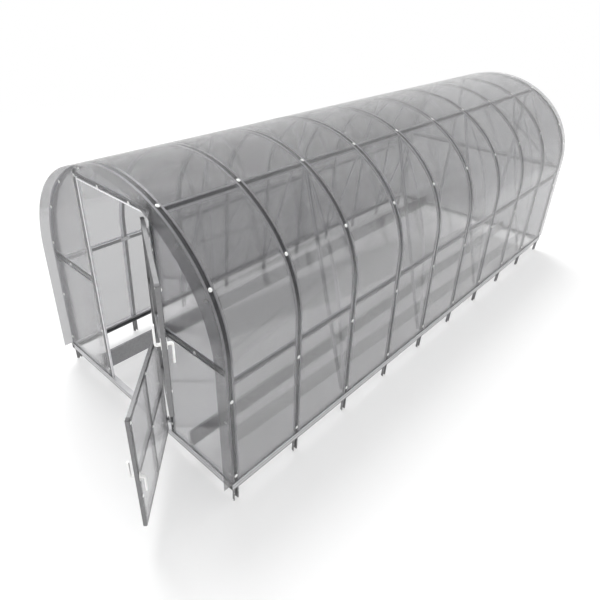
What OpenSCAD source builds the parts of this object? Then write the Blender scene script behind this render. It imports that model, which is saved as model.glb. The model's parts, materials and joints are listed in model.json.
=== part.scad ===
// Arched polycarbonate greenhouse, 6 m long, with a two-leaf stable door in the front gable.
// Millimetres, +Z up. The front gable faces -Y. The origin lies on the resting plane,
// under the middle of the space that the building takes up with its door open.

/* [Building] */
// Length from the first arch to the last, between centre lines
length = 6000; // [3000:100:9000]
// Width over the arches at the top of the base rails
width = 2356; // [2100:4:3000]
// Height of the straight arch legs above the base rails
leg_height = 1078; // [800:1:1400]
// Lean of the arch legs towards the middle, in degrees
leg_lean = 2.4; // [0.5:0.1:6]
// Outer radius of the arch shoulders
shoulder_radius = 960; // [800:5:1000]
// Turn of each arch shoulder, in degrees
shoulder_turn = 45; // [35:1:55]

/* [Frame sections] */
// Width of the hat section over its two flanges
hat_w = 64; // [50:1:80]
// Depth of the hat section
hat_depth = 22; // [16:1:30]
// Width of the groove between the flanges
groove_w = 30; // [20:1:36]
// Sheet thickness of the rolled sections
steel = 2; // [1.5:0.1:3]
// Width of the narrow hat section of the door posts and the head bar
post_w = 50; // [44:1:64]
// Width of the groove of the narrow hat section
post_groove_w = 24; // [16:1:30]

/* [Base] */
// Height of the base rails
rail_h = 62; // [45:1:90]
// Depth of the base rails
rail_depth = 42; // [34:1:60]
// How far the base rails stand out past the arches
rail_lip = 10; // [6:1:16]
// Length of the anchor legs below the base rails
anchor_drop = 145; // [80:1:300]
// Width of an anchor leg
anchor_w = 52; // [40:1:60]
// Height of the notch in the foot of an anchor leg
notch_h = 24; // [10:1:40]
// Height of the bed boards above the underside of the base rails
board_h = 185; // [100:5:250]
// Distance from the middle of the building to each bed board
board_x = 650; // [560:5:800]

/* [Purlins and braces] */
// Height of the waist purlins above the base rails
waist_h = 930; // [700:5:1050]
// Distance round the crown circle from the top to the upper purlins, in degrees
upper_turn = 26.5; // [20:0.5:34]
// Width of a chord brace
brace_w = 40; // [30:1:50]
// Depth of a chord brace
brace_depth = 18; // [12:1:24]
// Distance round the crown circle from the top to the head of a brace, in degrees
brace_turn = 29; // [25:0.5:36]

/* [Cover] */
// Thickness of the twin-wall sheets
sheet = 4; // [3:0.5:8]
// How far the cover runs out past the end arches' centre lines
overhang = 115; // [80:1:160]
// Gap between neighbouring cover sheets
sheet_gap = 2; // [1:0.5:5]
// Distance from the edge of the gable panels to the edge of the arch
panel_inset = 3; // [1:0.5:8]

/* [Door] */
// Clear width between the door posts
door_w = 864; // [700:4:1000]
// Height of the lower leaf
lower_leaf_h = 985; // [700:5:1050]
// Height of the upper leaf
upper_leaf_h = 870; // [700:5:900]
// Gap round each leaf
leaf_gap = 6; // [5:0.5:10]
// Width of the leaf frame tubes
leaf_tube_w = 30; // [20:1:40]
// Depth of the leaf frame tubes
leaf_tube_d = 24; // [18:1:30]
// Width of the crossed bars inside a leaf
cross_w = 24; // [16:1:30]
// Opening angle of the lower leaf at rest, in degrees
lower_open = 134; // [0:1:160]
// Opening angle of the upper leaf at rest, in degrees
upper_open = 151; // [0:1:160]
// Height of the gable crossbars above the base rails
crossbar_h = 1025; // [800:5:1150]

/* [Hinges and handles] */
// Radius of the hinge knuckles
knuckle_r = 6; // [5:0.5:8]
// Radius of the hinge pins
pin_r = 3; // [2:0.5:4]
// Height of one knuckle
knuckle_h = 30; // [20:1:40]
// Gap between a pin and its knuckle
pin_gap = 0.3; // [0.2:0.1:0.6]
// Length of a hinge pin
pin_l = 57; // [40:1:80]
// Distance of the hinges from the ends of a leaf
hinge_inset = 110; // [80:5:200]
// Length of the handle levers
lever_l = 120; // [80:5:150]
// Thickness of the handle levers
lever_t = 14; // [8:1:18]
// How far the handle levers stand off the faces of a leaf
handle_stand = 42; // [30:1:60]
// Height of the upper handle above the middle of its leaf
handle_lift = 80; // [0:5:120]
// Radius of the handle spindles
spindle_r = 5; // [3:0.5:6]

/* [Hidden] */
$fn = 360;
bays = 9;
arches = bays + 1;
pitch = length / bays;
half_w = width / 2;
half_l = length / 2;
seat = 0.3;
// How far neighbouring stretches of the arch outline run into each other, in degrees.
lap = 0.2;

base_z = anchor_drop;
rail_top = base_z + rail_h;

// Arch outline: a leaning leg, a shoulder arc and a crown arc, each tangent to the next.
crown_angle = leg_lean + shoulder_turn;
leg_top_x = half_w - leg_height * tan(leg_lean);
leg_top_z = rail_top + leg_height;
shoulder_x = leg_top_x - shoulder_radius * cos(leg_lean);
shoulder_z = leg_top_z - shoulder_radius * sin(leg_lean);
crown_radius = shoulder_radius + shoulder_x / cos(crown_angle);
crown_z = shoulder_z - (crown_radius - shoulder_radius) * sin(crown_angle);

front_y = -half_l;
back_y = half_l;
frame_face = hat_w / 2;
rail_out_x = half_w + rail_lip;
rail_out_y = half_l + frame_face + rail_lip;

post_x = door_w / 2 + post_w / 2;
leaf_w = door_w - 2 * leaf_gap;
lower_leaf_z = rail_top + leaf_gap;
upper_leaf_z = lower_leaf_z + lower_leaf_h + 2 * leaf_gap;
head_z = upper_leaf_z + upper_leaf_h + leaf_gap + post_w / 2;
leaf_front_y = front_y - frame_face - sheet;
axis_x = door_w / 2;
axis_y = leaf_front_y - knuckle_r;
handle_x = -leaf_w / 2 + leaf_tube_w / 2;
lower_handle_z = lower_leaf_z + lower_leaf_h / 2;
upper_handle_z = upper_leaf_z + upper_leaf_h / 2 + handle_lift;
// How far the open lower leaf and its handle reach out in front of the building's middle.
open_reach = -axis_y - (handle_x - lever_t / 2 - axis_x) * sin(lower_open)
    - (leaf_front_y + sheet + leaf_tube_d + handle_stand - axis_y) * cos(lower_open);
// Shift that brings the middle of the whole, door open, over the origin.
middle_y = (open_reach - half_l - overhang) / 2;
covers = 3;
cover_bays = bays / covers;

function arch_name(i) = i == 0 ? "front_arch" : i == bays ? "back_arch" : str("arch_", i + 1);
function arch_y(i) = front_y + i * pitch;
function polar(c, r, a) = [c[0] + r * cos(a), c[1] + r * sin(a)];
shoulder = [shoulder_x, shoulder_z];
crown = [0, crown_z];

// Half width of the arch outline at height z on the legs, drawn in by d.
function leg_x(z, d = 0) = half_w - (z - rail_top) * tan(leg_lean) - d / cos(leg_lean);

// Hat section open towards +X, its flanges at x = 0.
module hat(w, groove, depth) {
    web = groove / 2 + steel;
    polygon([
        [0, -w / 2], [0, -groove / 2], [steel - depth, -groove / 2], [steel - depth, groove / 2],
        [0, groove / 2], [0, w / 2], [-steel, w / 2], [-steel, web],
        [-depth, web], [-depth, -web], [-steel, -web], [-steel, -w / 2]
    ]);
}

// Slice of a disc between two directions, running a little past both.
module sector(c, r, from, turn) {
    intersection() {
        translate(c)
            circle(r);
        polygon([c, polar(c, 2 * r, from - lap), polar(c, 2 * r, from + turn + lap)]);
    }
}

// The space inside the arch outline drawn in by d, as a flat shape in X and Z.
module outline(d) {
    bend = polar(shoulder, shoulder_radius - d, leg_lean);
    foot = [leg_x(rail_top, d), rail_top];
    polygon([[-foot[0], foot[1]], foot, bend, shoulder, crown,
        [-shoulder[0], shoulder[1]], [-bend[0], bend[1]]]);
    for (side = [0, 1])
        mirror([side, 0])
            sector(shoulder, shoulder_radius - d, leg_lean, shoulder_turn);
    sector(crown, crown_radius - d, crown_angle, 180 - 2 * crown_angle);
}

// A flat shape in X and Z, made solid between two Y planes.
module between(y_from, y_to) {
    translate([0, y_to, 0])
        rotate([90, 0, 0])
            linear_extrude(y_to - y_from)
                children();
}

// A bent strip that follows the arch outline, between two depths and two Y planes.
module strip(d_from, d_to, y_from, y_to) {
    between(y_from, y_to)
        difference() {
            outline(d_from);
            translate([0, -1])
                outline(d_to);
            outline(d_to);
        }
}

// What lies inside the arches, over the whole length.
module inside() {
    between(front_y - hat_w, back_y + hat_w)
        outline(hat_depth + seat);
}

// Hat section bent to the arch outline, its flanges outwards.
module arch(i) {
    y = arch_y(i);
    web_y = groove_w / 2;
    color("#9a989c")
        union() {
            for (side = [-1, 1]) {
                flange = [y + side * web_y, y + side * hat_w / 2];
                strip(0, steel, min(flange), max(flange));
                web = [y + side * web_y, y + side * (web_y + steel)];
                strip(0, hat_depth, min(web), max(web));
            }
            strip(hat_depth - steel, hat_depth, y - web_y - steel, y + web_y + steel);
        }
}

// Channel open towards -X, its web standing at x = 0.
module rail_section() {
    difference() {
        translate([-rail_depth, 0])
            square([rail_depth, rail_h]);
        translate([-rail_depth - steel, steel])
            square([rail_depth, rail_h - 2 * steel]);
    }
}

module base_rail_right() {
    color("#b0b0b0")
        translate([rail_out_x, rail_out_y, base_z])
            rotate([90, 0, 0])
                linear_extrude(2 * rail_out_y)
                    rail_section();
}

module front_sill() {
    sill_l = 2 * (rail_out_x - rail_depth);
    color("#b0b0b0")
        translate([-sill_l / 2, -rail_out_y, base_z])
            rotate([90, 0, 90])
                linear_extrude(sill_l)
                    mirror([1, 0])
                        rail_section();
}

// Hat section stake under a base rail, with a notched foot.
module anchor_leg() {
    difference() {
        linear_extrude(base_z)
            hat(anchor_w, groove_w, hat_depth);
        translate([-hat_depth - 1, 0, 0])
            rotate([90, 0, 90])
                linear_extrude(hat_depth + 2)
                    polygon([[-anchor_w / 3, -1], [anchor_w / 3, -1], [0, notch_h]]);
    }
}

module anchor_legs_right() {
    color("#8e8e90")
        for (i = [0 : bays])
            translate([half_w, arch_y(i), 0])
                anchor_leg();
}

// Edging board of the planting bed, with a folded lip along its top.
module bed_board_right() {
    board_l = 2 * (rail_out_y - rail_depth);
    color("#a4a4a6")
        translate([board_x, board_l / 2, base_z])
            rotate([90, 0, 0])
                linear_extrude(board_l)
                    union() {
                        square([steel, board_h]);
                        translate([0, board_h - steel])
                            square([rail_depth / 2, steel]);
                    }
}

// The straight pieces of a purlin, each filling the space between two arches.
module purlin_pieces(w) {
    for (i = [0 : bays - 1])
        translate([0, arch_y(i) + hat_w / 2 + (pitch - hat_w), 0])
            rotate([90, 0, 0])
                linear_extrude(pitch - hat_w)
                    hat(w, groove_w, hat_depth);
}

module waist_purlin_right() {
    z = rail_top + waist_h;
    color("#9a989c")
        translate([leg_x(z), 0, z])
            rotate([0, -leg_lean, 0])
                purlin_pieces(hat_w);
}

module upper_purlin_right() {
    flat_drop = crown_radius - sqrt(pow(crown_radius, 2) - pow(hat_w / 2, 2));
    seat_at = polar(crown, crown_radius - flat_drop - seat, 90 - upper_turn);
    color("#9a989c")
        translate([seat_at[0], 0, seat_at[1]])
            rotate([0, upper_turn - 90, 0])
                purlin_pieces(hat_w);
}

// Straight brace in the plane of an arch, from under its crown to its foot.
module brace() {
    head = polar(crown, crown_radius - hat_depth - seat - brace_depth, 90 - brace_turn);
    foot = [leg_x(rail_top, hat_depth + seat + brace_depth), rail_top];
    run = foot - head;
    slope = atan2(-run[1], run[0]);
    reach = norm(run) + 2 * hat_w;
    translate([head[0], 0, head[1]])
        rotate([0, 90 + slope, 0])
            translate([0, 0, -hat_w])
                linear_extrude(reach)
                    rotate(180)
                        hat(brace_w, brace_w / 2, brace_depth);
}

module braces_right() {
    color("#8c8a8e")
        intersection() {
            for (i = [2 : 2 : bays - 1])
                translate([0, arch_y(i), 0])
                    brace();
            inside();
        }
}

// One bent sheet over several bays, between two Y planes.
module cover(y_from, y_to) {
    color("#dfe3e6", 0.5)
        strip(-sheet, 0, y_from, y_to);
}

module cover_front() {
    cover(front_y - overhang, arch_y(cover_bays) - sheet_gap / 2);
}

module cover_middle() {
    cover(arch_y(cover_bays) + sheet_gap / 2, arch_y(2 * cover_bays) - sheet_gap / 2);
}

module cover_back() {
    cover(arch_y(2 * cover_bays) + sheet_gap / 2, back_y + overhang);
}

// Upright hat section in the front gable, open to the front, trimmed under the arch.
module gable_post(x) {
    intersection() {
        translate([x, front_y - frame_face, rail_top])
            linear_extrude(crown_z + crown_radius - rail_top)
                rotate(-90)
                    hat(post_w, post_groove_w, hat_depth);
        inside();
    }
}

// Level hat section in the front gable, open to the front, trimmed under the arch.
module gable_bar(x_from, x_to, z, w, groove) {
    intersection() {
        translate([x_from, front_y - frame_face, z])
            rotate([90, 0, 90])
                linear_extrude(x_to - x_from)
                    mirror([1, 0])
                        hat(w, groove, hat_depth);
        inside();
    }
}

module door_post_right() {
    color("#9a989c")
        gable_post(post_x);
}

module door_head() {
    color("#9a989c")
        gable_bar(-door_w / 2, door_w / 2, head_z, post_w, post_groove_w);
}

module front_crossbars() {
    color("#9a989c")
        pair()
            gable_bar(post_x + post_w / 2, half_w, rail_top + crossbar_h, hat_w, groove_w);
}

// The part of the front gable sheeting between x planes and above a height.
module front_sheeting(x_from, x_to, z_from) {
    color("#dfe3e6", 0.5)
        intersection() {
            between(front_y - frame_face - sheet, front_y - frame_face)
                outline(panel_inset);
            translate([x_from, front_y - hat_w, z_from])
                cube([x_to - x_from, hat_w, crown_z + crown_radius]);
        }
}

module front_panel_right() {
    front_sheeting(post_x + sheet_gap / 2, half_w, rail_top);
}

module front_transom() {
    front_sheeting(-post_x + sheet_gap / 2, post_x - sheet_gap / 2, head_z);
}

module back_posts() {
    color("#9a989c")
        rotate(180)
            pair()
                gable_post(post_x);
}

module back_crossbars() {
    color("#9a989c")
        rotate(180) {
            pair()
                gable_bar(post_x + post_w / 2, half_w, rail_top + crossbar_h, hat_w, groove_w);
            gable_bar(-door_w / 2, door_w / 2, rail_top + crossbar_h, hat_w, groove_w);
        }
}

module back_panel() {
    color("#dfe3e6", 0.5)
        between(back_y + frame_face, back_y + frame_face + sheet)
            outline(panel_inset);
}

// The piece and its mirror image across the middle of the building.
module pair() {
    for (side = [0, 1])
        mirror([side, 0, 0])
            children();
}

// Swings a closed leaf open about the hinge line.
module swung(angle) {
    translate([axis_x, axis_y, 0])
        rotate(angle)
            translate([-axis_x, -axis_y, 0])
                children();
}

// The heights of the two hinges on a leaf.
function hinge_heights(z, h) = [z + hinge_inset, z + h - hinge_inset];

// Fixed half of a hinge: the lower knuckle with its pin, and its foot on the post.
module jamb_hinge() {
    foot_w = (post_w - post_groove_w) / 2 - pin_r;
    translate([axis_x, axis_y, -knuckle_h]) {
        cylinder(r = knuckle_r, h = knuckle_h);
        cylinder(r = pin_r, h = pin_l);
        cube([foot_w, knuckle_r + sheet, knuckle_h]);
    }
}

module jamb_hinges() {
    heights = concat(hinge_heights(lower_leaf_z, lower_leaf_h),
        hinge_heights(upper_leaf_z, upper_leaf_h));
    color("#c8c8ca")
        for (z = heights)
            translate([0, 0, z])
                jamb_hinge();
}

// Closed leaf: tube frame with a mid stile and a mid rail, and its moving knuckles.
module leaf_frame(z, h, handle_z) {
    bar_x = (leaf_w - cross_w) / 2;
    bar_z = (h - cross_w) / 2;
    translate([-leaf_w / 2, leaf_front_y + sheet, z])
        difference() {
            cube([leaf_w, leaf_tube_d, h]);
            for (side = [0, 1])
                for (level = [0, 1])
                    translate([leaf_tube_w + side * (bar_x - leaf_tube_w + cross_w), -1,
                            leaf_tube_w + level * (bar_z - leaf_tube_w + cross_w)])
                        cube([bar_x - leaf_tube_w, leaf_tube_d + 2, bar_z - leaf_tube_w]);
            translate([leaf_w / 2, -leaf_front_y - sheet, -z])
                spindle_hole(handle_z);
        }
    for (level = hinge_heights(z, h))
        translate([0, 0, level])
            leaf_knuckle();
}

// Moving half of a hinge: the upper knuckle and its plate, let into the leaf's edge.
module leaf_knuckle() {
    lift = seat;
    plate_x = leaf_w / 2 - sheet;
    difference() {
        union() {
            translate([axis_x, axis_y, lift])
                cylinder(r = knuckle_r, h = knuckle_h);
            translate([plate_x, axis_y, lift])
                cube([axis_x - plate_x, steel + 1, knuckle_h]);
            translate([plate_x, axis_y, lift])
                cube([sheet, knuckle_r + sheet + 1, knuckle_h]);
        }
        translate([axis_x, axis_y, lift - 1])
            cylinder(r = pin_r + pin_gap, h = knuckle_h + 2);
    }
}

module leaf_panel(z, h, handle_z) {
    notch_w = leaf_gap + sheet;
    difference() {
        translate([-leaf_w / 2 + steel, leaf_front_y, z + steel])
            cube([leaf_w - notch_w, sheet, h - 2 * steel]);
        spindle_hole(handle_z);
    }
}

// Hole for a handle's spindle through the free stile.
module spindle_hole(handle_z) {
    translate([handle_x, leaf_front_y - 1, handle_z])
        rotate([-90, 0, 0])
            cylinder(r = spindle_r + pin_gap, h = sheet + leaf_tube_d + 2);
}

// Handle through a leaf's free stile: a spindle with a lever up inside and a lever down outside.
module leaf_handle(z) {
    outer_y = leaf_front_y - handle_stand;
    inner_y = leaf_front_y + sheet + leaf_tube_d + handle_stand;
    translate([handle_x, outer_y, z])
        rotate([-90, 0, 0])
            cylinder(r = spindle_r, h = inner_y - outer_y);
    translate([handle_x - lever_t / 2, outer_y, z - lever_l])
        cube([lever_t, lever_t, lever_l + lever_t / 2]);
    translate([handle_x - lever_t / 2, inner_y - lever_t, z - lever_t / 2])
        cube([lever_t, lever_t, lever_l + lever_t / 2]);
}

module lower_door_frame() {
    color("#a4a4a6")
        swung(lower_open)
            leaf_frame(lower_leaf_z, lower_leaf_h, lower_handle_z);
}

module lower_door_panel() {
    color("#dfe3e6", 0.5)
        swung(lower_open)
            leaf_panel(lower_leaf_z, lower_leaf_h, lower_handle_z);
}

module lower_door_handle() {
    color("#f2f2f0")
        swung(lower_open)
            leaf_handle(lower_handle_z);
}

module upper_door_frame() {
    color("#a4a4a6")
        swung(upper_open)
            leaf_frame(upper_leaf_z, upper_leaf_h, upper_handle_z);
}

module upper_door_panel() {
    color("#dfe3e6", 0.5)
        swung(upper_open)
            leaf_panel(upper_leaf_z, upper_leaf_h, upper_handle_z);
}

module upper_door_handle() {
    color("#f2f2f0")
        swung(upper_open)
            leaf_handle(upper_handle_z);
}

module left() {
    mirror([1, 0, 0])
        children();
}

translate([0, middle_y, 0]) {
    for (i = [0 : bays])
        arch(i);
    left() base_rail_right();  // base_rail_left
    base_rail_right();
    front_sill();
    rotate(180) front_sill();  // back_sill
    left() anchor_legs_right();  // anchor_legs_left
    anchor_legs_right();
    left() bed_board_right();  // bed_board_left
    bed_board_right();
    left() waist_purlin_right();  // waist_purlin_left
    waist_purlin_right();
    left() upper_purlin_right();  // upper_purlin_left
    upper_purlin_right();
    left() braces_right();  // braces_left
    braces_right();
    cover_front();
    cover_middle();
    cover_back();
    left() door_post_right();  // door_post_left
    door_post_right();
    door_head();
    front_crossbars();
    left() front_panel_right();  // front_panel_left
    front_panel_right();
    front_transom();
    back_posts();
    back_crossbars();
    back_panel();
    jamb_hinges();
    lower_door_frame();
    lower_door_panel();
    lower_door_handle();
    upper_door_frame();
    upper_door_panel();
    upper_door_handle();
}
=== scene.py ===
import json
import math

import bmesh
import bpy
from mathutils import Matrix, Vector


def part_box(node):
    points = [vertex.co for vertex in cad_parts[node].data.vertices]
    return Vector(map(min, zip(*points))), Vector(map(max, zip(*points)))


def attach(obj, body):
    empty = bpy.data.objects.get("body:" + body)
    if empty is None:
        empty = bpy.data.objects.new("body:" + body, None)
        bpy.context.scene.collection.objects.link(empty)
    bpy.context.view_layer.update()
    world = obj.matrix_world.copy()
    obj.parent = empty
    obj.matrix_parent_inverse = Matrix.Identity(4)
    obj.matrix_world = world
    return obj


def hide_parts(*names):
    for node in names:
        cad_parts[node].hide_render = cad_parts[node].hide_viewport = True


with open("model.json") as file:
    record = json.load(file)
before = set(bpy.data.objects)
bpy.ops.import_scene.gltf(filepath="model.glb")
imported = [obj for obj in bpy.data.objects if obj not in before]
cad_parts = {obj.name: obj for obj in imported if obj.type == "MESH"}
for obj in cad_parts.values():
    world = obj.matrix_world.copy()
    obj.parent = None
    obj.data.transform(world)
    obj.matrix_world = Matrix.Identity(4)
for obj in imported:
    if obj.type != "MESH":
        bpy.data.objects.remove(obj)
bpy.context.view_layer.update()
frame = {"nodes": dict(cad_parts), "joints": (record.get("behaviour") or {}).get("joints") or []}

nodes = frame["nodes"]
joints = {joint["name"]: joint for joint in frame["joints"]}
print("frame loaded,", len(nodes), "nodes")


# sizes of the arches that no box in the frame gives
archShape = {
    "bays": 9,
    "legLean": math.radians(2.4),
    "legHeight": 1.078,
    "shoulderRadius": 0.960,
    "shoulderTurn": math.radians(45),
    "purlinTurn": math.radians(26.5),    # the upper purlins, from the crown
    "sheet": 0.004,                      # thickness of the cover that lies on the arches
    "sectionDepth": 0.022,
}

# the two door leaves; heights and faces are those of a shut leaf
leafShape = {
    "swing": {"lower_door": math.radians(134), "upper_door": math.radians(151)},   # stand-open angles
    "span": {"lower_door": (0.213, 1.198), "upper_door": (1.210, 2.080)},
    "half": 0.426,
    "faceBehindPin": 0.006,
    "thick": 0.028,
    "tubeMiddle": 0.016,                 # behind the outer face
}


def middleOf(name, axis):
    low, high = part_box(name)
    return (getattr(low, axis) + getattr(high, axis)) / 2


# places taken from the frame
frontY = middleOf("front_arch", "y")
backY = middleOf("back_arch", "y")
headZ = middleOf("door_head", "z")
crossZ = middleOf("front_crossbars", "z")
waistZ = middleOf("waist_purlin_right", "z")
postX = middleOf("door_post_right", "x")
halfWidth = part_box("anchor_legs_right")[1].x
railBottom, railTop = (corner.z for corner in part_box("base_rail_right"))
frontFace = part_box("front_panel_right")[0].y
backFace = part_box("back_panel")[1].y
hingeAt = Vector(joints["lower_door_hinge"]["pos_m"])
leafFace = hingeAt.y + leafShape["faceBehindPin"]
leafBack = leafFace + leafShape["thick"]
bayLength = (backY - frontY) / archShape["bays"]
archYs = [frontY + index * bayLength for index in range(archShape["bays"] + 1)]
toFront = Vector((0, -1, 0))
toBack = Vector((0, 1, 0))


# a spot on the arch outline, lifted off it, and the direction that faces out there
def onLeg(height, lift=0.0):
    lean = archShape["legLean"]
    x = halfWidth - (height - railTop) * math.tan(lean) + lift / math.cos(lean)
    return Vector((x, 0, height)), Vector((math.cos(lean), 0, math.sin(lean)))


def shoulderCentre():
    lean = archShape["legLean"]
    top = onLeg(railTop + archShape["legHeight"])[0]
    radius = archShape["shoulderRadius"]
    return Vector((top.x - radius * math.cos(lean), 0, top.z - radius * math.sin(lean)))


def onShoulder(angle, lift=0.0):
    out = Vector((math.cos(angle), 0, math.sin(angle)))
    return shoulderCentre() + out * (archShape["shoulderRadius"] + lift), out


def onCrown(turn, lift=0.0):
    centre = shoulderCentre()
    end = archShape["legLean"] + archShape["shoulderTurn"]
    radius = archShape["shoulderRadius"] + centre.x / math.cos(end)
    crownZ = centre.z - (radius - archShape["shoulderRadius"]) * math.sin(end)
    out = Vector((math.sin(turn), 0, math.cos(turn)))
    return Vector((0, 0, crownZ)) + out * (radius + lift), out


class Value:                                   # a node's output, ready for sums
    def __init__(self, finish, socket):
        self.finish = finish
        self.socket = socket

    def sum(self, operation, left, right=0.0):
        return self.finish.node("ShaderNodeMath", {"operation": operation}, {0: left, 1: right})

    def fraction(self):
        return self.finish.node("ShaderNodeMath", {"operation": "FRACT"}, {0: self})

    def __add__(self, other):
        return self.sum("ADD", self, other)

    def __radd__(self, other):
        return self.sum("ADD", other, self)

    def __sub__(self, other):
        return self.sum("SUBTRACT", self, other)

    def __rsub__(self, other):
        return self.sum("SUBTRACT", other, self)

    def __mul__(self, other):
        return self.sum("MULTIPLY", self, other)

    def __rmul__(self, other):
        return self.sum("MULTIPLY", other, self)

    def __truediv__(self, other):
        return self.sum("DIVIDE", self, other)

    def __rtruediv__(self, other):
        return self.sum("DIVIDE", other, self)

    def __abs__(self):
        return self.sum("ABSOLUTE", self)

    def __gt__(self, other):
        return self.sum("GREATER_THAN", self, other)

    def __lt__(self, other):
        return self.sum("LESS_THAN", self, other)


class Finish:                                  # one material and its nodes
    def __init__(self, name, tree=None):
        if tree is None:
            self.material = bpy.data.materials.new(name)
            self.material.use_nodes = True
            tree = self.material.node_tree
        self.tree = tree
        self.tree.nodes.clear()

    def node(self, kind, settings=None, inputs=None, output=0):
        made = self.tree.nodes.new(kind)
        for name, setting in (settings or {}).items():
            setattr(made, name, setting)
        for name, given in (inputs or {}).items():
            if isinstance(given, Value):
                self.tree.links.new(given.socket, made.inputs[name])
            else:
                made.inputs[name].default_value = given
        return Value(self, made.outputs[output]) if made.outputs else None

    def place(self):
        return self.node("ShaderNodeTexCoord", output="Object")

    def axes(self, where):
        return [self.node("ShaderNodeSeparateXYZ", {}, {0: where}, name) for name in "XYZ"]

    def blend(self, amount, first, second):
        settings = {"data_type": "RGBA"}
        return self.node("ShaderNodeMix", settings, {"Factor": amount, "A": first, "B": second}, 2)

    def noise(self, where, scale, detail=3.0, roughness=0.55):
        sizes = {"Vector": where, "Scale": scale, "Detail": detail, "Roughness": roughness}
        return self.node("ShaderNodeTexNoise", {}, sizes)

    def smooth(self, given, low, high):
        settings = {"interpolation_type": "SMOOTHSTEP"}
        return self.node("ShaderNodeMapRange", settings, {"Value": given, "From Min": low, "From Max": high})

    def bump(self, height, distance, strength):
        sizes = {"Height": height, "Distance": distance, "Strength": strength}
        return self.node("ShaderNodeBump", {}, sizes)

    def close(self, shader):
        self.node("ShaderNodeOutputMaterial", {}, {"Surface": shader})
        return self.material


def grey(level, blue=0.0):
    return (level, level, level * (1 + blue), 1.0)


# rolled and galvanised steel
steelLook = {
    "arch": {"light": 0.94, "dark": 0.80, "roughness": 0.42, "metal": 0.50},
    "base": {"light": 0.66, "dark": 0.54, "roughness": 0.45, "metal": 0.50},
    "board": {"light": 0.40, "dark": 0.28, "roughness": 0.45, "metal": 0.60},
    "stake": {"light": 0.36, "dark": 0.26, "roughness": 0.50, "metal": 0.65},
    "door": {"light": 0.27, "dark": 0.18, "roughness": 0.50, "metal": 0.65},
    "bright": {"light": 0.70, "dark": 0.55, "roughness": 0.28, "metal": 0.90},
    "blue": 0.02,
    "spangle": 55.0,                     # crystals of zinc to the metre
    "spangleShare": 0.45,                # how much of the tone is crystals; the rest is clouds
    "cloud": 3.0,
    "grain": 900.0,                      # fine grain to the metre
    "grainDetail": 2.0,
    "bumpHeight": 0.0002,
    "bumpStrength": 0.5,
    "roughnessDrop": 0.08,
    "roughnessSpread": 0.10,             # added by a crystal, and again by a cloud
    "paintedGrooveShade": 0.62,                 # how much painted shade darkens the groove of a section
    "paintedGrooveShadeColour": 0.03,
    "grooveWidth": 0.030,
    "gableGroove": 0.024,
    "paintedGrooveShadeEdge": 0.0005,
    "grimeHeight": 0.22,                 # how high splashed dirt reaches
    "grimeAmount": 0.25,
    "grimeFrom": 0.35,
    "grimeTo": 0.65,
    "grimeColour": (0.16, 0.15, 0.14, 1.0),
    "grimeRoughness": 0.2,
}

# painted shade along the outside of the base rails: a dark line where the fold lies in shade, and a dark
# band along the lower edge
railPaintedShade = {
    "lineHeight": 0.040,
    "lineWidth": 0.006,
    "paintedFoldShadeColour": 0.14,
    "lowerEdge": 0.010,
    "paintedLowerEdgeShadeColour": 0.10,
    # how strongly the painted shade darkens the rail
    "depth": 0.75,
}


# aside gives the distance from a section's middle line, width the width of its groove, which gets painted
# shade
def steelFinish(name, look, paintsRailShade=False, aside=None, width=steelLook["grooveWidth"]):
    finish = Finish(name)
    where = finish.place()
    x, y, z = finish.axes(where)
    crystal = finish.node("ShaderNodeTexVoronoi", {"feature": "F1"},
                          {"Vector": where, "Scale": steelLook["spangle"]}, "Color")
    tone = finish.node("ShaderNodeSeparateXYZ", {}, {0: crystal}, "X")
    cloud = finish.noise(where, steelLook["cloud"])
    grain = finish.noise(where, steelLook["grain"], steelLook["grainDetail"])
    amount = tone * steelLook["spangleShare"] + cloud * (1 - steelLook["spangleShare"])
    dark = grey(look["dark"], steelLook["blue"])
    light = grey(look["light"], steelLook["blue"])
    colour = finish.blend(amount, dark, light)
    # painted shade: the groove of each hat section is darkened in the colour, standing in for the shade
    # inside the real groove
    if aside:
        edge = steelLook["paintedGrooveShadeEdge"]
        paintedGrooveShadeMask = 1 - finish.smooth(aside(x, y, z), width / 2 - edge, width / 2 + edge)
        colour = finish.blend(paintedGrooveShadeMask * steelLook["paintedGrooveShade"], colour, grey(steelLook["paintedGrooveShadeColour"]))
    patches = finish.smooth(cloud, steelLook["grimeFrom"], steelLook["grimeTo"])
    dirt = (1 - finish.smooth(z, 0.0, steelLook["grimeHeight"])) * patches
    colour = finish.blend(dirt * steelLook["grimeAmount"], colour, steelLook["grimeColour"])
    # painted shade: a dark line at the fold and a dark band along the lower edge of the rail
    if paintsRailShade:
        paintedFoldShade = abs(z - (railBottom + railPaintedShade["lineHeight"])) < railPaintedShade["lineWidth"] / 2
        paintedLowerShade = z < railBottom + railPaintedShade["lowerEdge"]
        colour = finish.blend(paintedFoldShade * railPaintedShade["depth"], colour, grey(railPaintedShade["paintedFoldShadeColour"]))
        colour = finish.blend(paintedLowerShade * railPaintedShade["depth"], colour, grey(railPaintedShade["paintedLowerEdgeShadeColour"]))
    spread = steelLook["roughnessSpread"]
    rough = look["roughness"] - steelLook["roughnessDrop"] + tone * spread + cloud * spread
    rough = rough + dirt * steelLook["grimeRoughness"]
    normal = finish.bump((grain + tone) / 2, steelLook["bumpHeight"], steelLook["bumpStrength"])
    inputs = {"Base Color": colour, "Metallic": look["metal"], "Roughness": rough, "Normal": normal}
    return finish.close(finish.node("ShaderNodeBsdfPrincipled", {}, inputs))


# how far a spot lies from the middle line of its section, for the painted groove shade
def fromArch(x, y, z):
    halfBay = 0.5
    share = (y - frontY) / bayLength + (archShape["bays"] + halfBay)
    return abs(share.fraction() - halfBay) * bayLength


def fromWaist(x, y, z):
    return abs(z - waistZ)


def fromUpper(x, y, z):
    spot, out = onCrown(archShape["purlinTurn"])
    return abs((abs(x) - spot.x) * out.z - (z - spot.z) * out.x)


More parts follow.
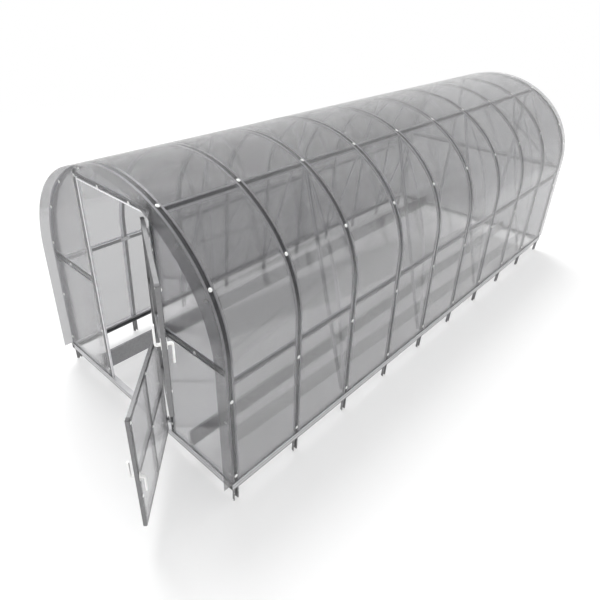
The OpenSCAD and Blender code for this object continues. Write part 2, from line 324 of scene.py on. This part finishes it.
def fromPost(x, y, z):
    return abs(abs(x) - postX)


def fromHead(x, y, z):
    return abs(z - headZ)


def fromBar(x, y, z):
    return abs(z - crossZ)


gableGroove = steelLook["gableGroove"]
archSteel = steelFinish("galvanisedArch", steelLook["arch"], False, fromArch)
waistSteel = steelFinish("galvanisedWaist", steelLook["arch"], False, fromWaist)
upperSteel = steelFinish("galvanisedUpper", steelLook["arch"], False, fromUpper)
postSteel = steelFinish("galvanisedPost", steelLook["arch"], False, fromPost, gableGroove)
headSteel = steelFinish("galvanisedHead", steelLook["arch"], False, fromHead, gableGroove)
barSteel = steelFinish("galvanisedBar", steelLook["arch"], False, fromBar)
braceSteel = steelFinish("galvanisedBrace", steelLook["arch"])
baseSteel = steelFinish("galvanisedRail", steelLook["base"], True)
boardSteel = steelFinish("galvanisedBoard", steelLook["board"])
stakeSteel = steelFinish("galvanisedStake", steelLook["stake"])
doorSteel = steelFinish("galvanisedDoor", steelLook["door"])
brightSteel = steelFinish("zincPlated", steelLook["bright"])


# twin-wall sheet, hollow cells between thin webs
sheetLook = {
    # the tints are darker than the sheet itself: besides the sheet's own tint they carry painted shade of
    # the interior seen through it, and the dark of the plants and soil behind, darkest on the cover
    "coverTintAndPaintedShade": 0.26,
    "gableTintAndPaintedShade": 0.40,
    "leafTintAndPaintedShade": 0.50,
    "blue": 0.03,
    "webLift": 0.08,                     # how much paler the sheet is over a web
    "cell": 0.006,                       # distance from web to web
    "web": 0.16,                         # share of a cell that is web
    "webFade": (0.5, 1.5),               # where a web's shade begins and ends, in webs
    "webHeight": 0.0002,
    "webStrength": 0.15,
    "alpha": 0.62,
    "webAlpha": 0.14,                    # added over a web
    "roughness": 0.10,
    "dustRoughness": 0.05,
    "through": 0.97,
    "bending": 1.25,
    "gloss": 0.5,
    "cloud": 1.6,
    "cloudFade": (0.40, 0.70),
    "streak": (9.0, 9.0, 0.9),           # long up and down
    "streakFade": (0.45, 0.75),
    "detail": 4.0,
    "splashHeight": 0.35,                # above the base rails
    "dustShare": 0.6,
    "splashShare": 0.8,
    "dustAmount": 0.10,
    "dustColour": (0.66, 0.66, 0.65, 1.0),
    "haze": 0.04,                        # dust, added to alpha in soft patches
}


def sheetFinish(name, across, tintAndPaintedShade):
    finish = Finish(name)
    look = sheetLook
    where = finish.place()
    x, y, z = finish.axes(where)
    cells = (x * across[0] + y * across[1]) / look["cell"]
    fromWeb = 1 - abs(cells.fraction() - 0.5) * 2
    fadeFrom, fadeTo = (share * look["web"] for share in look["webFade"])
    web = 1 - finish.smooth(fromWeb, fadeFrom, fadeTo)
    cloud = finish.noise(where, look["cloud"], look["detail"])
    streakPlace = finish.node("ShaderNodeVectorMath", {"operation": "MULTIPLY"},
                              {0: where, 1: look["streak"]})
    streak = finish.noise(streakPlace, 1.0, look["detail"])
    dust = (finish.smooth(cloud, *look["cloudFade"]) + finish.smooth(streak, *look["streakFade"])) / 2
    splash = 1 - finish.smooth(z, railTop, railTop + look["splashHeight"])
    dirt = dust * look["dustShare"] + splash * dust * look["splashShare"]
    # the tint holds painted shade of the interior behind the sheet as well as the sheet's own tint
    colour = finish.blend(web, grey(tintAndPaintedShade, look["blue"]), grey(tintAndPaintedShade + look["webLift"], look["blue"]))
    colour = finish.blend(dirt * look["dustAmount"], colour, look["dustColour"])
    inputs = {
        "Base Color": colour,
        "Roughness": look["roughness"] + dirt * look["dustRoughness"],
        "Alpha": look["alpha"] + web * look["webAlpha"] + dirt * look["haze"],
        "Normal": finish.bump(web, look["webHeight"], look["webStrength"]),
        "Transmission Weight": look["through"],
        "IOR": look["bending"],
        "Specular IOR Level": look["gloss"],
    }
    return finish.close(finish.node("ShaderNodeBsdfPrincipled", {}, inputs))


def leafAcross(body):
    swing = leafShape["swing"][body]
    return (math.cos(swing), math.sin(swing))


coverSheet = sheetFinish("twinWallCover", (0, 1), sheetLook["coverTintAndPaintedShade"])
gableSheet = sheetFinish("twinWallGable", (1, 0), sheetLook["gableTintAndPaintedShade"])
lowerSheet = sheetFinish("twinWallLowerLeaf", leafAcross("lower_door"), sheetLook["leafTintAndPaintedShade"])
upperSheet = sheetFinish("twinWallUpperLeaf", leafAcross("upper_door"), sheetLook["leafTintAndPaintedShade"])


# moulded plastics
plasticLook = {
    "white": {"colour": (0.92, 0.92, 0.91), "roughness": 0.30},
    "dark": {"colour": (0.11, 0.11, 0.115), "roughness": 0.50},
    "cloud": 12.0,
    "cloudFade": (0.35, 0.75),
    "cloudShade": 0.93,                  # colour inside a cloud
    "grain": 700.0,
    "grainDetail": 2.0,
    "grainHeight": 0.00015,
    "grainStrength": 0.4,
    "roughnessSpread": 0.12,
    "coat": 0.15,
}


def plasticFinish(name, look):
    finish = Finish(name)
    where = finish.place()
    cloud = finish.noise(where, plasticLook["cloud"])
    grain = finish.noise(where, plasticLook["grain"], plasticLook["grainDetail"])
    plain = look["colour"] + (1.0,)
    darker = tuple(channel * plasticLook["cloudShade"] for channel in look["colour"]) + (1.0,)
    inputs = {
        "Base Color": finish.blend(finish.smooth(cloud, *plasticLook["cloudFade"]), plain, darker),
        "Roughness": look["roughness"] + cloud * plasticLook["roughnessSpread"],
        "Normal": finish.bump(grain, plasticLook["grainHeight"], plasticLook["grainStrength"]),
        "Coat Weight": plasticLook["coat"],
    }
    return finish.close(finish.node("ShaderNodeBsdfPrincipled", {}, inputs))


whitePlastic = plasticFinish("whitePlastic", plasticLook["white"])
darkPlastic = plasticFinish("darkPlastic", plasticLook["dark"])
print("finishes made")


# which finish each of the frame's own nodes gets
def finishFor(name):
    if name.startswith("cover"):
        return coverSheet
    if name == "lower_door_panel":
        return lowerSheet
    if name == "upper_door_panel":
        return upperSheet
    if "panel" in name or name == "front_transom":
        return gableSheet
    if "handle" in name:
        return whitePlastic
    if "rail" in name or "sill" in name:
        return baseSteel
    if "board" in name:
        return boardSteel
    if "legs" in name:
        return stakeSteel
    if "hinge" in name:
        return brightSteel
    if name.endswith("door_frame"):
        return doorSteel
    if "arch" in name:
        return archSteel
    if name.startswith("door_post"):
        return postSteel
    if name == "door_head":
        return headSteel
    if name.endswith("crossbars"):
        return barSteel
    if name.startswith("waist"):
        return waistSteel
    if name.startswith("upper_purlin"):
        return upperSteel
    return braceSteel


for name, node in nodes.items():
    node.data.materials.clear()
    node.data.materials.append(finishFor(name))
print("frame nodes finished")


# a place whose Z axis points out, turned about that axis by spin
def turnedTo(place, out, spin=0.0):
    turn = out.to_track_quat("Z", "Y").to_matrix().to_4x4()
    return Matrix.Translation(place) @ turn @ Matrix.Rotation(spin, 4, "Z")


# the same, turned so that one of its own axes lies along a direction
def squaredTo(place, out, ownAxis, along):
    mostly = 0.5
    turn = turnedTo(place, out)
    lined = abs((turn.to_3x3() @ ownAxis).dot(along)) > mostly
    return turn if lined else turnedTo(place, out, math.pi / 2)


def joinRings(mesh, rings):
    for first, second in zip(rings, rings[1:]):
        count = max(len(first), len(second))
        for index in range(count):
            following = (index + 1) % count
            if len(first) == 1:
                corners = (first[0], second[index], second[following])
            elif len(second) == 1:
                corners = (first[index], first[following], second[0])
            else:
                corners = (first[index], first[following], second[following], second[index])
            mesh.faces.new(corners)


def closeEnds(mesh, rings):
    mesh.faces.new(rings[-1])
    mesh.faces.new(list(reversed(rings[0])))


def addTurned(mesh, profile, place, segments=20):
    rings = []
    for radius, height in profile:
        if radius == 0:
            rings.append([mesh.verts.new(place @ Vector((0, 0, height)))])
            continue
        ring = []
        for index in range(segments):
            angle = 2 * math.pi * index / segments
            spot = Vector((radius * math.cos(angle), radius * math.sin(angle), height))
            ring.append(mesh.verts.new(place @ spot))
        rings.append(ring)
    joinRings(mesh, rings)


def roundedOutline(width, length, radius, steps=4):
    outline = []
    corners = ((1, 1, 0), (-1, 1, 90), (-1, -1, 180), (1, -1, 270))
    for sideX, sideY, start in corners:
        for step in range(steps + 1):
            angle = math.radians(start + 90 * step / steps)
            x = sideX * (width / 2 - radius) + radius * math.cos(angle)
            y = sideY * (length / 2 - radius) + radius * math.sin(angle)
            outline.append((x, y))
    return outline


def addPlate(mesh, width, length, thick, place, radius=0.003, chamfer=0.0005):
    leastRadius = 0.0004
    levels = ((0, 0.0), (0, thick - chamfer), (chamfer, thick))
    rings = []
    for inset, height in levels:
        outline = roundedOutline(width - 2 * inset, length - 2 * inset, max(radius - inset, leastRadius))
        rings.append([mesh.verts.new(place @ Vector((x, y, height))) for x, y in outline])
    joinRings(mesh, rings)
    closeEnds(mesh, rings)


def addSweep(mesh, path, width, depth, sideways):
    cornerShare = 0.35
    outline = roundedOutline(width, depth, min(width, depth) * cornerShare)
    rings = []
    for index, spot in enumerate(path):
        before = path[max(index - 1, 0)]
        after = path[min(index + 1, len(path) - 1)]
        along = (after - before).normalized()
        other = along.cross(sideways).normalized()
        rings.append([mesh.verts.new(spot + sideways * x + other * y) for x, y in outline])
    joinRings(mesh, rings)
    closeEnds(mesh, rings)


# hex head on a thin washer; the shares are of the bolt's size
boltShape = {
    "washerRadius": 0.95,
    "washerThick": 0.0012,
    "washerTop": 0.0014,
    "washerSegments": 18,
    "bore": 0.6,
    "headRadius": 0.62,
    "headHeight": 0.6,
    "headShoulder": 0.85,                # share of the height where the head starts to round off
    "headTop": 0.5,
    "headSides": 6,
}


def addHexBolt(mesh, size, place):
    shape = boltShape
    radius = size * shape["washerRadius"]
    thick = shape["washerThick"]
    top = shape["washerTop"]
    washer = ((radius, 0), (radius, thick), (size * shape["bore"], top), (0, top))
    addTurned(mesh, washer, place, shape["washerSegments"])
    height = size * shape["headHeight"]
    outer = size * shape["headRadius"]
    shoulder = height * shape["headShoulder"]
    head = ((outer, thick), (outer, shoulder), (size * shape["headTop"], height), (0, height))
    addTurned(mesh, head, place, shape["headSides"])


# dished washer, as shares of its radius and height, from the rim to the middle
washerShape = ((1, 0), (1, 0.22), (0.93, 0.38), (0.72, 0.55), (0.52, 0.70), (0.50, 0.90), (0.38, 1), (0, 1))


def washerProfile(radius, height):
    return [(radius * aside, height * up) for aside, up in washerShape]


def makePiece(name, mesh, finish, body):
    sharpAngle = math.radians(35)
    bmesh.ops.recalc_face_normals(mesh, faces=mesh.faces)
    data = bpy.data.meshes.new(name)
    mesh.to_mesh(data)
    mesh.free()
    data.shade_smooth()
    data.set_sharp_from_angle(angle=sharpAngle)
    data.materials.append(finish)
    piece = bpy.data.objects.new(name, data)
    bpy.context.scene.collection.objects.link(piece)
    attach(piece, body)
    return piece


# dished washers that hold the cover to the arches
roofWashers = {
    "radius": 0.015,
    "height": 0.0055,
    "legHeights": (0.270, 0.982),
    "shoulderAngle": math.radians(33.3),
    "crownTurn": math.radians(24.8),
}


def roofSpots():
    lift = archShape["sheet"]
    spots = [onLeg(height, lift) for height in roofWashers["legHeights"]]
    spots.append(onShoulder(roofWashers["shoulderAngle"], lift))
    spots.append(onCrown(roofWashers["crownTurn"], lift))
    return spots


mesh = bmesh.new()
profile = washerProfile(roofWashers["radius"], roofWashers["height"])
for y in archYs:
    for spot, out in roofSpots():
        for side in (1, -1):
            place = Vector((spot.x * side, y, spot.z))
            facing = Vector((out.x * side, 0, out.z))
            addTurned(mesh, profile, turnedTo(place, facing))
makePiece("roofWashers", mesh, whitePlastic, "building")
print("roof washers placed")


# washers on the two gables
gableWashers = {
    "radius": 0.013,
    "height": 0.005,
    "headXs": (-postX, -0.140, 0.242, postX),
    "barX": 0.830,
    "postHeights": (0.30, 0.72),
    "postAside": 0.012,
    "edgeHeights": (0.30, 0.80),
    "edgeAngles": (6, 30, 52, 72),       # round the gable's edge, in degrees
    "edgeInset": 0.032,
    "backXs": (-0.80, -0.30, 0.30, 0.80),
}


def edgeSpots():
    inward = -gableWashers["edgeInset"]
    crownFrom = math.degrees(archShape["legLean"] + archShape["shoulderTurn"])
    spots = [onLeg(height, inward)[0] for height in gableWashers["edgeHeights"]]
    for angle in gableWashers["edgeAngles"]:
        if angle < crownFrom:
            spots.append(onShoulder(math.radians(angle), inward)[0])
        else:
            spots.append(onCrown(math.radians(90 - angle), inward)[0])
    return spots


mesh = bmesh.new()
profile = washerProfile(gableWashers["radius"], gableWashers["height"])
for x in gableWashers["headXs"]:
    addTurned(mesh, profile, turnedTo(Vector((x, frontFace, headZ)), toFront))
for side in (1, -1):
    place = Vector((gableWashers["barX"] * side, frontFace, crossZ))
    addTurned(mesh, profile, turnedTo(place, toFront))
    for height in gableWashers["postHeights"]:
        place = Vector(((postX + gableWashers["postAside"]) * side, frontFace, height))
        addTurned(mesh, profile, turnedTo(place, toFront))
    for spot in edgeSpots():
        for face, facing in ((frontFace, toFront), (backFace, toBack)):
            place = Vector((spot.x * side, face, spot.z))
            addTurned(mesh, profile, turnedTo(place, facing))
for x in gableWashers["backXs"]:
    addTurned(mesh, profile, turnedTo(Vector((x, backFace, crossZ)), toBack))
makePiece("gableWashers", mesh, whitePlastic, "building")
print("gable washers placed")


# plates and bolts where the purlins meet the arches
purlinPlates = {
    "width": 0.100,
    "length": 0.038,
    "thick": 0.002,
    "bolt": 0.007,
    "boltAside": 0.36,                   # share of the width
}

mesh = bmesh.new()
inward = -archShape["sectionDepth"]
for y in archYs[1:-1]:
    for spot, out in (onLeg(waistZ, inward), onCrown(archShape["purlinTurn"], inward)):
        for side in (1, -1):
            place = Vector((spot.x * side, y, spot.z))
            facing = Vector((-out.x * side, 0, -out.z))
            turn = squaredTo(place, facing, Vector((1, 0, 0)), Vector((0, 1, 0)))
            addPlate(mesh, purlinPlates["width"], purlinPlates["length"], purlinPlates["thick"], turn)
            for step in (-1, 1):
                aside = step * purlinPlates["width"] * purlinPlates["boltAside"]
                shift = Vector((aside, 0, purlinPlates["thick"]))
                addHexBolt(mesh, purlinPlates["bolt"], turn @ Matrix.Translation(shift))
makePiece("purlinPlates", mesh, brightSteel, "building")
print("purlin plates placed")


# bolts that hold the stakes to the base rails
stakeBolts = {
    "below": (0.022, 0.062),
    "aside": 0.0205,
    "size": 0.0052,
}

mesh = bmesh.new()
for y in archYs:
    for side in (1, -1):
        for drop in stakeBolts["below"]:
            for step in (-1, 1):
                place = Vector((halfWidth * side, y + step * stakeBolts["aside"], railBottom - drop))
                addHexBolt(mesh, stakeBolts["size"], turnedTo(place, Vector((side, 0, 0))))
makePiece("stakeBolts", mesh, brightSteel, "building")
print("stake bolts placed")


# handles with back plates, one pair through each leaf
handleShape = {
    "x": -0.411,
    "heights": {"lower_door": 0.7055, "upper_door": 1.725},
    "width": 0.022,
    "depth": 0.013,
    "length": 0.122,
    "standOff": 0.038,
    "bendRadius": 0.012,
    "bendSteps": 6,
    "gripShares": (0.3, 0.6, 0.9),
    "tip": 0.004,
    "plateWidth": 0.026,
    "plateLength": 0.070,
    "plateThick": 0.003,
    "plateCorner": 0.010,
    "plateChamfer": 0.001,
    "collar": ((0.0105, 0.003), (0.0105, 0.007), (0.009, 0.0085), (0, 0.0085)),
}


# from where a shut leaf is to where it stands at rest
def leafPlace(body):
    to = Matrix.Translation(Vector((hingeAt.x, hingeAt.y, 0)))
    return to @ Matrix.Rotation(leafShape["swing"][body], 4, "Z") @ to.inverted()


def leverPath(out, up, start):
    shape = handleShape
    radius = shape["bendRadius"]
    path = [start, start + out * (shape["standOff"] - shape["depth"] / 2 - radius)]
    corner = path[-1] + up * radius
    for step in range(1, shape["bendSteps"] + 1):
        angle = math.pi / 2 * step / shape["bendSteps"]
        path.append(corner + out * radius * math.sin(angle) - up * radius * math.cos(angle))
    end = path[-1]
    for share in shape["gripShares"]:
        path.append(end + up * shape["length"] * share)
    path.append(end + up * (shape["length"] - shape["tip"]))
    return path


def makeHandle(body):
    mesh = bmesh.new()
    shape = handleShape
    down = Vector((0, 0, -1))
    for y, out, up in ((leafFace, toFront, down), (leafBack, toBack, -down)):
        start = Vector((shape["x"], y, shape["heights"][body]))
        addSweep(mesh, leverPath(out, up, start), shape["width"], shape["depth"], Vector((1, 0, 0)))
        plate = squaredTo(start, out, Vector((0, 1, 0)), Vector((0, 0, 1)))
        addPlate(mesh, shape["plateWidth"], shape["plateLength"], shape["plateThick"], plate,
                 shape["plateCorner"], shape["plateChamfer"])
        addTurned(mesh, shape["collar"], plate)
    mesh.transform(leafPlace(body))
    piece = makePiece(body.replace("_door", "") + "HandlePair", mesh, whitePlastic, body)
    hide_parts(body + "_handle")


for body in leafShape["swing"]:
    makeHandle(body)
print("handles shaped")


# washers, rivets and end caps on the leaves; a washer spot is aside and above the lower edge
leafTrim = {
    "washer": 0.011,
    "washerHeight": 0.0045,
    "washerSpots": {
        "lower_door": ((0.0, 0.972), (-0.411, 0.960), (0.0, 0.492), (-0.411, 0.300),
                       (0.411, 0.250), (0.411, 0.760), (0.0, 0.018)),
        "upper_door": ((0.0, 0.855), (-0.411, 0.845), (0.0, 0.435), (-0.411, 0.180),
                       (0.411, 0.220), (0.411, 0.640), (0.0, 0.018)),
    },
    "rivet": 0.0045,
    "rivetShape": ((1, 0), (0.9, 0.3), (0.5, 0.5), (0, 0.55)),
    "rivetShares": (0.015, 0.2, 0.5, 0.8, 0.985),
    "rivetSegments": 14,
    "inset": 0.015,                      # rivets and caps, from the leaf's side
    "cap": 0.004,
    "capWidth": 0.0295,
    "capLength": 0.0235,
    "capCorner": 0.003,
    "capChamfer": 0.001,
}


def makeLeafTrim(body):
    trim = leafTrim
    low, high = leafShape["span"][body]
    short = body.replace("_door", "")
    sideX = leafShape["half"] - trim["inset"]
    mesh = bmesh.new()
    profile = washerProfile(trim["washer"], trim["washerHeight"])
    for x, rise in trim["washerSpots"][body]:
        addTurned(mesh, profile, turnedTo(Vector((x, leafFace, low + rise)), toFront))
    mesh.transform(leafPlace(body))
    makePiece(short + "LeafWashers", mesh, whitePlastic, body)

    mesh = bmesh.new()
    rivet = [(trim["rivet"] * aside, trim["rivet"] * up) for aside, up in trim["rivetShape"]]
    for side in (-1, 1):
        for share in trim["rivetShares"]:
            place = Vector((side * sideX, leafBack, low + (high - low) * share))
            addTurned(mesh, rivet, turnedTo(place, toBack), trim["rivetSegments"])
    mesh.transform(leafPlace(body))
    makePiece(short + "LeafRivets", mesh, brightSteel, body)

    mesh = bmesh.new()
    for level, facing in ((low, Vector((0, 0, -1))), (high, Vector((0, 0, 1)))):
        for side in (-1, 1):
            place = Vector((side * sideX, leafFace + leafShape["tubeMiddle"], level))
            addPlate(mesh, trim["capWidth"], trim["capLength"], trim["cap"], turnedTo(place, facing),
                     trim["capCorner"], trim["capChamfer"])
    mesh.transform(leafPlace(body))
    makePiece(short + "LeafCaps", mesh, darkPlastic, body)


for body in leafShape["swing"]:
    makeLeafTrim(body)
print("leaf trim placed")


# floor, light and camera
stageLook = {
    "floorSize": 60.0,
    "floorDrop": 0.002,
    "floorCells": 8,
    "fadeFrom": 7.0,
    "fadeTo": 12.0,
    "floorColour": 0.95,
    "floorGlow": 0.42,                   # share of the floor seen as plain white
    "worldLight": 0.85,
    "sunPower": 2.0,
    "sunSoftness": math.radians(28),
    "sunFrom": (-0.55, 0.25, 1.0),
}


def seenDirectly(finish):
    camera = finish.node("ShaderNodeLightPath", output="Is Camera Ray")
    glossy = finish.node("ShaderNodeLightPath", output="Is Glossy Ray")
    through = finish.node("ShaderNodeLightPath", output="Is Transmission Ray")
    either = finish.node("ShaderNodeMath", {"operation": "MAXIMUM"}, {0: camera, 1: glossy})
    return finish.node("ShaderNodeMath", {"operation": "MAXIMUM"}, {0: either, 1: through})


def makeFloor():
    finish = Finish("paleFloor")
    where = finish.place()
    distance = finish.node("ShaderNodeVectorMath", {"operation": "LENGTH"}, {0: where}, "Value")
    fade = finish.smooth(distance, stageLook["fadeFrom"], stageLook["fadeTo"])
    plain = finish.node("ShaderNodeBsdfDiffuse", {}, {"Color": grey(stageLook["floorColour"])})
    glow = finish.node("ShaderNodeEmission", {}, {"Color": grey(1.0), "Strength": 1.0})
    clear = finish.node("ShaderNodeBsdfTransparent", {}, {"Color": grey(1.0)})
    glowing = seenDirectly(finish) * stageLook["floorGlow"]
    lit = finish.node("ShaderNodeMixShader", {}, {0: glowing, 1: plain, 2: glow})
    finish.close(finish.node("ShaderNodeMixShader", {}, {0: fade, 1: lit, 2: clear}))
    mesh = bmesh.new()
    cells = stageLook["floorCells"]
    bmesh.ops.create_grid(mesh, x_segments=cells, y_segments=cells, size=stageLook["floorSize"] / 2)
    data = bpy.data.meshes.new("floor")
    mesh.to_mesh(data)
    mesh.free()
    data.materials.append(finish.material)
    floor = bpy.data.objects.new("floor", data)
    floor.location = (0, 0, -stageLook["floorDrop"])
    bpy.context.scene.collection.objects.link(floor)


def makeWorld():
    world = bpy.data.worlds.new("studio")
    world.use_nodes = True
    bpy.context.scene.world = world
    finish = Finish("studio", world.node_tree)
    seen = seenDirectly(finish)
    strength = seen + (1 - seen) * stageLook["worldLight"]
    light = finish.node("ShaderNodeBackground", {}, {"Color": grey(1.0), "Strength": strength})
    finish.node("ShaderNodeOutputWorld", {}, {"Surface": light})


def makeSun():
    data = bpy.data.lights.new("softKey", "SUN")
    data.energy = stageLook["sunPower"]
    data.angle = stageLook["sunSoftness"]
    sun = bpy.data.objects.new("softKey", data)
    sun.rotation_mode = "QUATERNION"
    sun.rotation_quaternion = Vector(stageLook["sunFrom"]).to_track_quat("Z", "Y")
    bpy.context.scene.collection.objects.link(sun)


cameraPlace = {
    "x": 2.994,
    "fromFront": -1.623,                 # along Y, from the front arch
    "height": 3.376,
    "azimuth": math.radians(42.852),
    "elevation": math.radians(32.426),
    "roll": math.radians(1.836),
    "sensor": 36.0,
    "lens": 30.56,
    "shiftX": 0.0451,
    "shiftY": -0.0076,
    "clipStart": 0.05,
    "clipEnd": 200.0,
}


def makeCamera():
    data = bpy.data.cameras.new("viewpoint")
    data.sensor_width = cameraPlace["sensor"]
    data.lens = cameraPlace["lens"]
    data.shift_x = cameraPlace["shiftX"]
    data.shift_y = cameraPlace["shiftY"]
    data.clip_start = cameraPlace["clipStart"]
    data.clip_end = cameraPlace["clipEnd"]
    camera = bpy.data.objects.new("viewpoint", data)
    azimuth, elevation, roll = (cameraPlace[key] for key in ("azimuth", "elevation", "roll"))
    flat = math.cos(elevation)
    back = Vector((math.sin(azimuth) * flat, -math.cos(azimuth) * flat, math.sin(elevation)))
    right = Vector((0, 0, 1)).cross(back).normalized()
    up = back.cross(right)
    rolledRight = right * math.cos(roll) + up * math.sin(roll)
    rolledUp = up * math.cos(roll) - right * math.sin(roll)
    turn = Matrix((rolledRight, rolledUp, back)).transposed().to_4x4()
    place = Vector((cameraPlace["x"], frontY + cameraPlace["fromFront"], cameraPlace["height"]))
    camera.matrix_world = Matrix.Translation(place) @ turn
    bpy.context.scene.collection.objects.link(camera)
    bpy.context.scene.camera = camera


makeFloor()
makeWorld()
makeSun()
makeCamera()
bpy.context.scene.view_settings.view_transform = "Standard"
print("floor, light and camera set")
